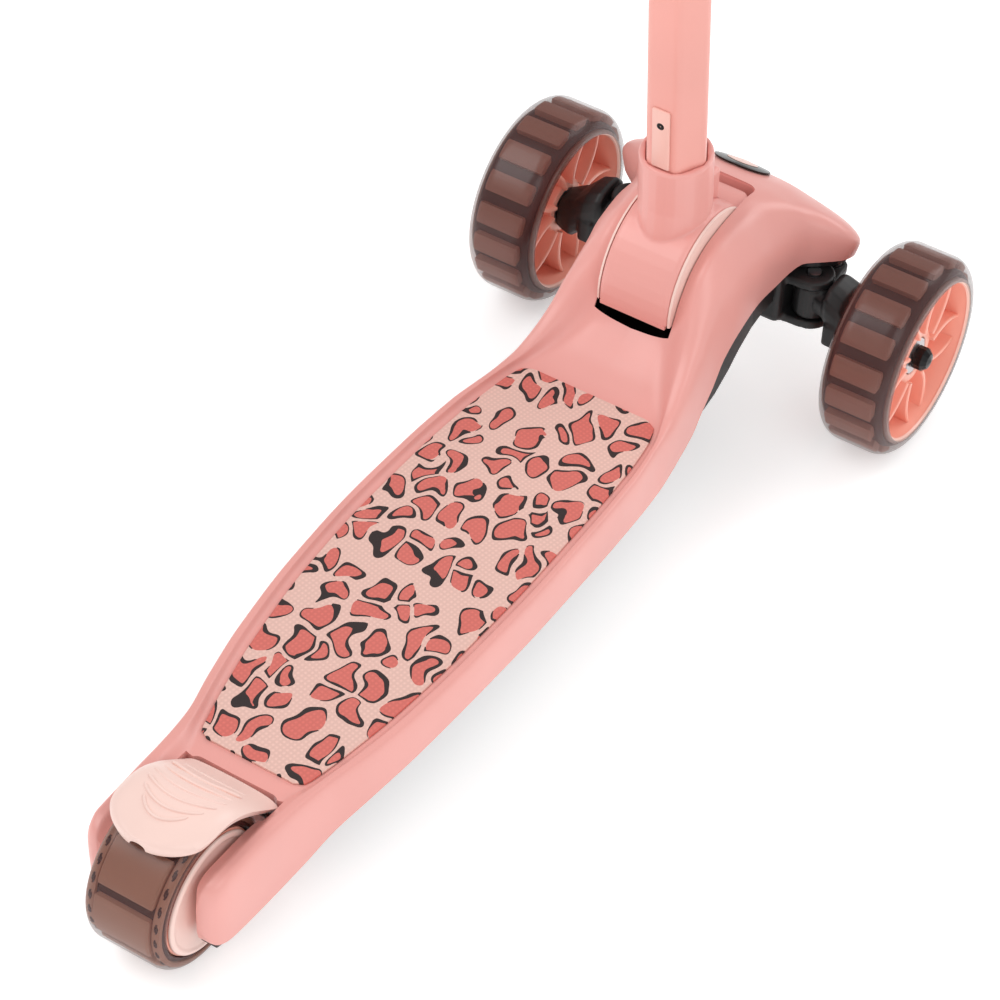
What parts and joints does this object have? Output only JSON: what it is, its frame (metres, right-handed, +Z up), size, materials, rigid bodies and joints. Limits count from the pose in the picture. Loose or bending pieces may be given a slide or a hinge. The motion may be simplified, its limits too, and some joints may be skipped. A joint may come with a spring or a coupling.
{
  "type": "kick scooter",
  "caption": "Small three-wheeled lean-to-steer kick scooter with a printed deck, folding stem, height-adjustable T-bar and rear fender brake.",
  "frame": {"origin": "on the ground under the middle of the scooter's box", "axes": "+X the rider's right, +Y forward, +Z up"},
  "size_m": [0.323, 0.6277, 0.7042],
  "materials": {
    "shell_plastic": "smooth salmon-pink moulded plastic, satin",
    "pale_plastic": "smooth cream-pink moulded plastic, satin",
    "black_plastic": "black glass-filled plastic, lightly grained",
    "badge": "black oval with a plain pale shape",
    "seal_rubber": "black rubber bar",
    "mat_rubber": "printed grip sheet: animal print in coral with dark outlines, fine woven texture",
    "tyre_clear": "smoky brown translucent polyurethane",
    "rim_plastic": "salmon moulded plastic",
    "stem_paint": "salmon-pink powder coat",
    "bar_alloy": "brushed aluminium tube",
    "grip_rubber": "soft black rubber, ribbed",
    "black_steel": "black oxide steel",
    "steel": "plain zinc-plated steel"
  },
  "bodies": {
    "deck": {"deck_shell": "shell_plastic", "grip_mat": "mat_rubber", "belly_pan": "black_plastic", "underplate_left": "black_plastic", "underplate_right": "black_plastic", "front_bridge": "black_plastic", "emblem": "badge", "hinge_bracket": "steel", "hinge_pin": "steel", "fender_pin": "steel", "fender_spring": "steel", "fork_cover_left": "black_plastic", "fork_cover_right": "black_plastic", "rear_axle": "steel", "rear_spacer": "steel", "kingpin_left": "steel", "kingpin_right": "steel"},
    "stem": {"fold_block": "shell_plastic", "fold_trim_left": "pale_plastic", "fold_trim_right": "pale_plastic", "drum_seal": "seal_rubber", "stem_tube": "stem_paint", "key_strip": "pale_plastic", "stem_screw": "black_steel", "clamp_collar": "black_plastic", "clamp_bolt": "steel", "release_spring": "steel"},
    "handlebar": {"handlebar": "bar_alloy", "grip_left": "grip_rubber", "grip_right": "grip_rubber"},
    "release_button": {"release_button": "shell_plastic"},
    "clamp_lever": {"clamp_lever": "black_plastic"},
    "fender_brake": {"fender_brake": "pale_plastic"},
    "tie_rod": {"tie_rod": "steel"},
    "rear_wheel": {"rear_rim": "rim_plastic", "rear_tyre": "tyre_clear", "rear_bearing_left": "steel", "rear_bearing_right": "steel", "rear_hub_disc_left": "pale_plastic", "rear_hub_disc_right": "pale_plastic"},
    "knuckle_left": {"knuckle_left": "black_plastic", "axle_bolt_left": "steel", "hub_nut_left": "black_steel", "light_core_left": "steel"},
    "wheel_left": {"rim_left": "rim_plastic", "tyre_left": "tyre_clear", "bearing_left_inner": "steel", "bearing_left_outer": "steel"},
    "knuckle_right": {"knuckle_right": "black_plastic", "axle_bolt_right": "steel", "hub_nut_right": "black_steel", "light_core_right": "steel"},
    "wheel_right": {"rim_right": "rim_plastic", "tyre_right": "tyre_clear", "bearing_right_inner": "steel", "bearing_right_outer": "steel"}
  },
  "joints": [
    {"name": "stem_fold", "type": "hinge", "parent": "deck", "child": "stem", "pos_m": [0, 0.1965, 0.1045], "axis": [1, 0, 0], "range_deg": [0, 72]},
    {"name": "handlebar_height", "type": "slide", "parent": "stem", "child": "handlebar", "axis": [0, -0.1028, 0.9947], "range_m": [-0.1, 0.09]},
    {"name": "release_press", "type": "slide", "parent": "stem", "child": "release_button", "axis": [0, 0.1028, -0.9947], "range_m": [0, 0.005], "stiffness_N_per_m": 400, "springref_m": -0.002, "deforming": ["release_spring"]},
    {"name": "clamp_open", "type": "hinge", "parent": "stem", "child": "clamp_lever", "pos_m": [0.0165, 0.13462, 0.42153], "axis": [0, 0.1028, -0.9947], "range_deg": [0, 110]},
    {"name": "fender_press", "type": "hinge", "parent": "deck", "child": "fender_brake", "pos_m": [0, -0.2245, 0.0615], "axis": [1, 0, 0], "range_deg": [0, 3.5], "stiffness_Nm_per_rad": 2, "springref_deg": -2.86},
    {"name": "steer_left", "type": "hinge", "parent": "deck", "child": "knuckle_left", "pos_m": [-0.06, 0.254, 0.0725], "axis": [0, 0, 1], "range_deg": [-15, 15], "stiffness_Nm_per_rad": 6},
    {"name": "steer_right", "type": "hinge", "parent": "deck", "child": "knuckle_right", "pos_m": [0.06, 0.254, 0.0725], "axis": [0, 0, 1], "range_deg": [-15, 15]},
    {"name": "tie_rod_pivot", "type": "hinge", "parent": "knuckle_left", "child": "tie_rod", "pos_m": [-0.06, 0.284, 0.066], "axis": [0, 0, 1], "range_deg": [-15, 15]},
    {"name": "wheel_left_spin", "type": "hinge", "parent": "knuckle_left", "child": "wheel_left", "pos_m": [-0.116, 0.254, 0.06], "axis": [1, 0, 0], "continuous": true},
    {"name": "wheel_right_spin", "type": "hinge", "parent": "knuckle_right", "child": "wheel_right", "pos_m": [0.116, 0.254, 0.06], "axis": [1, 0, 0], "continuous": true},
    {"name": "rear_wheel_spin", "type": "hinge", "parent": "deck", "child": "rear_wheel", "pos_m": [0, -0.2704, 0.0436], "axis": [1, 0, 0], "continuous": true}
  ],
  "couplings": [
    {"joint": "steer_right", "follows": "steer_left", "ratio": 1},
    {"joint": "tie_rod_pivot", "follows": "steer_left", "ratio": -1}
  ]
}
